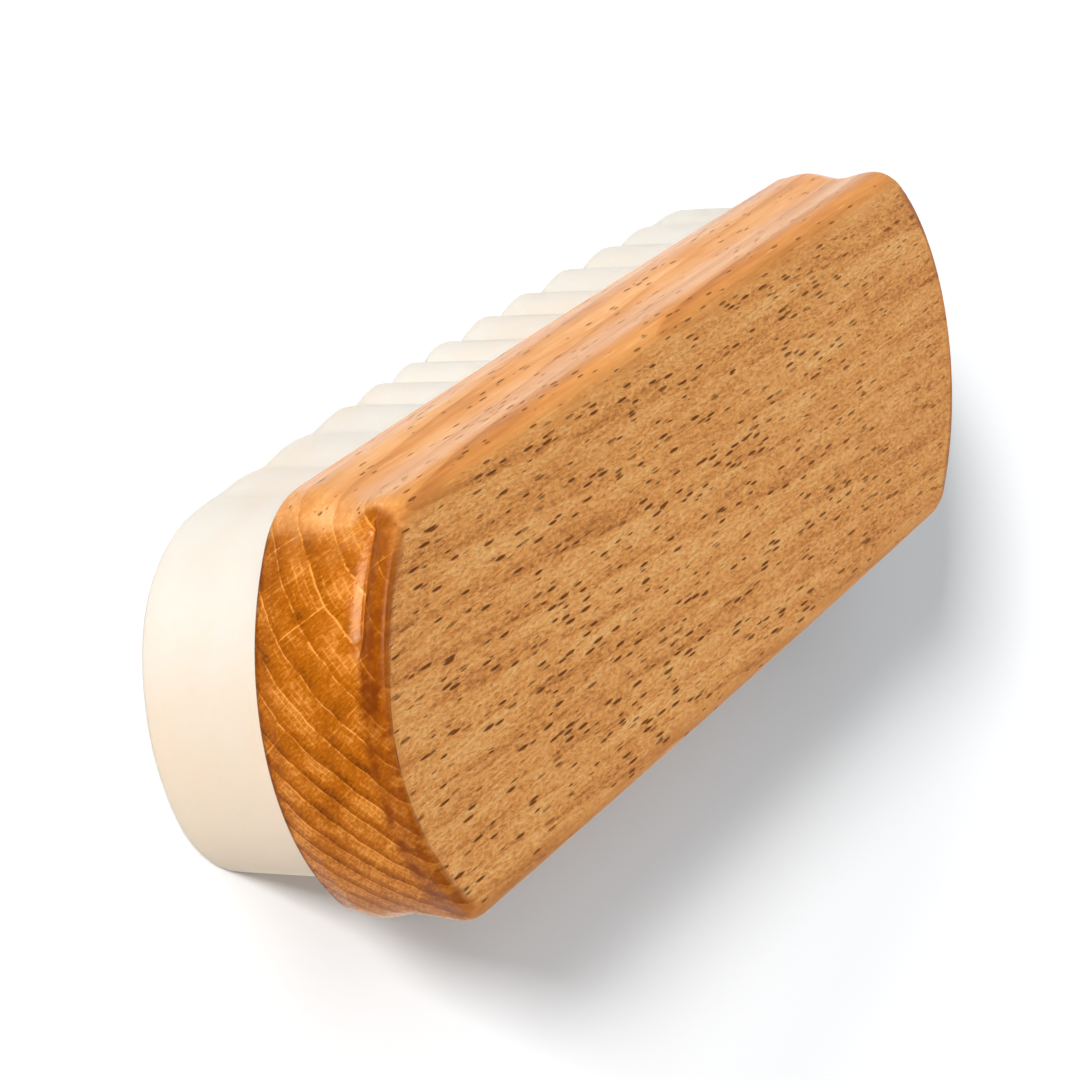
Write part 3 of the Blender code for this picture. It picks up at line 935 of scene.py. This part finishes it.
def band_path(half, pad_length):
    """The band's middle line, from one side of the seam at +X round to the other."""
    middle = inset_half(half, BAND_THICKNESS / 2)
    rounded = END_STEPS + CORNER_STEPS
    first_x = middle[rounded][0]
    count = round(2 * first_x / PATH_STEP)
    xs = [first_x - 2 * first_x * i / count for i in range(count + 1)]
    right = [(x, y) for x, y, _, _ in middle[:rounded]]
    left = [(x, y) for x, y, _, _ in middle[-rounded:]]
    sides = []
    for side in (1, -1):
        wavy = [(x, half_width(middle, x) - flute_inset(x, side, pad_length)) for x in xs]
        sides.append(right + wavy + left)
    path = sides[0] + [(x, -y) for x, y in reversed(sides[1][:-1])]
    path[0] = (path[0][0], BAND_SEAM / 2)
    path[-1] = (path[-1][0], -BAND_SEAM / 2)
    return path


def fold_path(half):
    """The folded strip's middle line: walls across the pad, and turns as wide as the folds are laid apart."""
    radius = FOLD_SPACING / 2
    turns = inset_half(half, BAND_THICKNESS + FIT_GAP + radius + FOLD_THICKNESS / 2)
    numbers = range(-(FOLD_COUNT // 2), FOLD_COUNT // 2 + 1)
    folds = [(number * FOLD_SPACING, -1 if number % 2 else 1) for number in numbers]
    first_x, first_side = folds[0]
    last_x, last_side = folds[-1]
    corners = [(first_x - radius, -first_side * half_width(turns, first_x))]
    for x, side in folds:
        turn = (laid(x + radius) - laid(x - radius)) / 2
        y = side * (half_width(turns, x) + radius - turn)
        for i in range(TURN_STEPS + 1):
            angle = math.pi * i / TURN_STEPS
            corners.append((x - radius * math.cos(angle), y + side * turn * math.sin(angle)))
    corners.append((last_x + radius, -last_side * half_width(turns, last_x)))
    path = [corners[0]]
    for first, last in zip(corners, corners[1:]):
        pieces = max(1, round(math.dist(first, last) / FOLD_STEP))
        for i in range(1, pieces + 1):
            share = i / pieces
            path.append(tuple(a + (b - a) * share for a, b in zip(first, last)))
    return [(laid(x), y) for x, y in path]


def strip_section(thickness, low, high):
    """The strip's cross-section as (offset, height), with its lower edges rounded as cut crepe is."""
    half = thickness / 2
    angles = [math.pi / 2 * i / EDGE_STEPS for i in range(EDGE_STEPS + 1)]
    edge = [(half - CUT_EDGE * (1 - math.sin(a)), low + CUT_EDGE * (1 - math.cos(a))) for a in angles]
    rise = high - low - CUT_EDGE
    wall = [(half, low + CUT_EDGE + rise * i / WALL_STEPS) for i in range(1, WALL_STEPS + 1)]
    outer = edge + wall
    return outer + [(-offset, height) for offset, height in reversed(outer)]


def strip(name, path, thickness, high, look, *nodes):
    """A strip of crepe that stands on edge along a path, with the faint waves of a soft sheet."""
    section = strip_section(thickness, PAD_FOOT, high)
    bm = bmesh.new()
    rings = []
    for i, (x, y) in enumerate(path):
        before = Vector(path[max(i - 1, 0)])
        after = Vector(path[min(i + 1, len(path) - 1)])
        tangent = (after - before).normalized()
        out = Vector((tangent.y, -tangent.x))
        ring = []
        for offset, height in section:
            place = Vector((x, y, height)) + offset * out.to_3d()
            swell = noise.noise(place * CREPE_WAVES_PER_METRE) * CREPE_WAVE
            ring.append(bm.verts.new(place - out.to_3d() * math.copysign(abs(swell), offset)))
        rings.append(ring)
    skin(bm, rings)
    for ring in (rings[0], rings[-1]):
        for i in range(len(ring) // 2 - 1):
            bm.faces.new((ring[i], ring[i + 1], ring[-i - 2], ring[-i - 1]))
    piece = finish_piece(name, bm, look, "crepe", *nodes)
    piece.data.set_sharp_from_angle(angle=STRIP_SHARP_ANGLE)


def drill(piece, radius, low, high):
    """Cuts a round hole for each tack out of a piece, between two heights."""
    cutters = []
    for name in tacks:
        corner, far_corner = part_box(name)
        middle = (corner + far_corner) / 2
        bm = bmesh.new()
        form = {"segments": HOLE_STEPS, "radius1": radius, "radius2": radius, "depth": high - low}
        bmesh.ops.create_cone(bm, cap_ends=True, **form)
        bmesh.ops.translate(bm, verts=bm.verts, vec=(middle.x, middle.y, (low + high) / 2))
        mesh = bpy.data.meshes.new("hole")
        bm.to_mesh(mesh)
        bm.free()
        cutters.append(bpy.data.objects.new("hole", mesh))
    for cutter in cutters:
        bpy.context.scene.collection.objects.link(cutter)
        cut = piece.modifiers.new("hole", "BOOLEAN")
        cut.operation = "DIFFERENCE"
        cut.object = cutter
    whole = piece.data
    drilled = piece.evaluated_get(bpy.context.evaluated_depsgraph_get())
    piece.data = bpy.data.meshes.new_from_object(drilled)
    piece.modifiers.clear()
    bpy.data.meshes.remove(whole)
    for cutter in cutters:
        bpy.data.meshes.remove(cutter.data)


def sheet(half, look):
    """The crepe sheet between the folds and the block, with a recess round each tack's head."""
    low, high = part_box("backing_sheet")
    edge = inset_half(half, BAND_THICKNESS + FLUTE_DEPTH + FIT_GAP)
    ring = [(x, y) for x, y, _, _ in edge] + [(x, -y) for x, y, _, _ in edge[-2:0:-1]]
    bm = bmesh.new()
    lower = [bm.verts.new((x, y, low.z)) for x, y in ring]
    upper = [bm.verts.new((x, y, high.z)) for x, y in ring]
    skin(bm, (lower, upper))
    bm.faces.new(lower)
    bm.faces.new(upper)
    piece = finish_piece("crepe_sheet", bm, look, "sheet_crepe", "backing_sheet")
    drill(piece, TACK_HOLE, low.z - FIT_GAP, high.z + FIT_GAP)
    drill(piece, TACK_RECESS, low.z - FIT_GAP, low.z + TACK_RECESS_DEPTH)
    piece.data.set_sharp_from_angle(angle=SHEET_SHARP_ANGLE)


def pad(look, sheet_look):
    """The crepe pad: the fluted band, the folds within it, and the sheet over them."""
    low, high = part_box("wooden_block")
    length = high.x - low.x - 2 * BELLY_BULGE - 2 * PAD_END_INSET
    width = high.y - low.y - 2 * BELLY_BULGE - 2 * PAD_SIDE_INSET
    half = upper_half(plan_quarter(length, width, PAD_END_BOW, PAD_SIDE_BOW, PAD_CORNER))
    band = band_path(half, length)
    strip("crepe_band", band, BAND_THICKNESS, low.z - GLUE_GAP, look, "crepe_outer_band")
    sheet_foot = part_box("backing_sheet")[0].z
    strip("crepe_folds", fold_path(half), FOLD_THICKNESS, sheet_foot - GLUE_GAP, look, "crepe_folded_core")
    sheet(half, sheet_look)


# The studio.


def camera():
    """The camera at the photograph's viewpoint."""
    made = bpy.data.objects.new("camera", bpy.data.cameras.new("camera"))
    bpy.context.scene.collection.objects.link(made)
    made.data.lens = CAMERA_LENS
    made.data.clip_start = CAMERA_CLIP
    forward = (Vector(CAMERA_AIM) - Vector(CAMERA_PLACE)).normalized()
    right = forward.cross(Vector(CAMERA_UP)).normalized()
    up = right.cross(forward)
    turn = Matrix((right, up, -forward)).transposed()
    made.matrix_world = Matrix.Translation(CAMERA_PLACE) @ turn.to_4x4()
    bpy.context.scene.camera = made


def lamp(name, place, size, level):
    """A square area lamp that looks at the brush, and lights a face turned to it to the given level."""
    beam = Vector(LAMP_AIM) - Vector(place)
    data = bpy.data.lights.new(name, "AREA")
    data.size = size
    data.energy = level * (math.pi * beam.length) ** 2
    made = bpy.data.objects.new(name, data)
    made.location = place
    made.rotation_euler = beam.to_track_quat("-Z", "Y").to_euler()
    bpy.context.scene.collection.objects.link(made)
    return made


def seen_directly(tree):
    """1 for the rays of the camera and of what mirrors or shows what lies behind it."""
    rays = node(tree, "LightPath").outputs
    seen = calc(tree, "MAXIMUM", rays["Is Camera Ray"], rays["Is Glossy Ray"])
    return calc(tree, "MAXIMUM", seen, rays["Is Transmission Ray"])


def floor():
    """A white floor that keeps the brush's shadow, painted a little darker round it as painted shade, and
    goes over into plain white far from it.
    """
    bpy.ops.mesh.primitive_plane_add(size=FLOOR_SIZE, location=(0, 0, -FLOOR_DROP))
    made = bpy.context.object
    made.name = "floor"
    look, tree, shader = new_material("studio_white")
    tree.nodes.remove(shader)
    seen = seen_directly(tree)
    place = node(tree, "TexCoord").outputs["Object"]
    far = step_between(tree, distance(tree, place), FLOOR_FADES, FLOOR_PLAIN)
    from_shadow = vector_calc(tree, "SUBTRACT", place, SHADOW_PLACE)
    away = distance(tree, vector_calc(tree, "DIVIDE", from_shadow, SHADOW_REACH))
    # Painted shade: the floor shows darker in the ellipse round the shadow.
    shown = step_between(tree, away, SHADOW_CORE, SHADOW_RIM, FLOOR_SEEN_IN_SHADE, FLOOR_SEEN_FAR)
    white = mixed(tree, seen, (FLOOR_BOUNCE, FLOOR_BOUNCE, FLOOR_BOUNCE, 1.0), shown)
    matt = node(tree, "BsdfDiffuse", {"Color": white})
    plain = node(tree, "Emission", {"Color": WHITE, "Strength": 1.0})
    whole = node(tree, "MixShader", {0: times(tree, far, seen), 1: matt.outputs[0], 2: plain.outputs[0]})
    tree.links.new(whole.outputs[0], tree.nodes["Material Output"].inputs["Surface"])
    made.data.materials.append(look)
    return made


def world():
    """A dim even sky for the object, which the camera sees as white."""
    made = bpy.data.worlds.new("studio")
    bpy.context.scene.world = made
    made.use_nodes = True
    tree = made.node_tree
    backdrop = tree.nodes["Background"]
    seen = seen_directly(tree)
    tree.links.new(mixed(tree, seen, WORLD_TINT, WHITE), backdrop.inputs["Color"])
    tree.links.new(between(tree, seen, WORLD_LIGHT, 1.0), backdrop.inputs["Strength"])


def linked(source, piece, state):
    """Makes a lamp light one piece and nothing else, or everything but that piece."""
    group = bpy.data.collections.new(source.name + "_reach")
    group.objects.link(piece)
    group.collection_objects[0].light_linking.link_state = state
    source.light_linking.receiver_collection = group


def studio():
    """The sky, the lamps and the floor. The floor's own lamps draw the shadow where the photograph has it."""
    bpy.context.scene.view_settings.view_transform = "Standard"
    world()
    key = lamp("key", (-3.008, 2.108, 1.500), size=0.30, level=0.95)
    key.visible_glossy = False
    softbox = lamp("softbox", (-1.24, 0.84, 1.32), size=0.90, level=3.2)
    softbox.data.color = SOFTBOX_TINT
    softbox.visible_diffuse = False
    side = lamp("side", (0.15, 1.45, 0.66), size=0.80, level=0.26)
    lamp("overhead", (-0.15, -0.10, 1.20), size=0.60, level=0.06)
    far_end = lamp("far_end", (0.74, 0.40, 0.22), size=0.30, level=0.08)
    fill = lamp("fill", (-1.20, -1.00, 0.24), size=0.80, level=0.33)
    low_side = lamp("low_side", (1.20, -1.20, 0.25), size=0.40, level=0.48)
    low_side.visible_glossy = False
    ground = floor()
    for source in (key, side, far_end, fill, low_side):
        linked(source, ground, "EXCLUDE")
    linked(lamp("floor_key", (-3.06, 2.20, 1.37), size=0.58, level=1.66), ground, "INCLUDE")
    linked(lamp("floor_near", (-0.68, 0.80, 1.06), size=0.98, level=0.51), ground, "INCLUDE")


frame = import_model()
tacks = [name for name in frame["nodes"] if name.startswith("tack_")]

camera()
studio()
block(beech())
pad(crepe("crepe", CREPE_TONES_AND_PAINTED_LIGHT), crepe("sheet_crepe", SHEET_TONES))
tack_steel = steel()
for name in tacks:
    shown = frame["nodes"][name]
    shown.data.materials.clear()
    shown.data.materials.append(tack_steel)
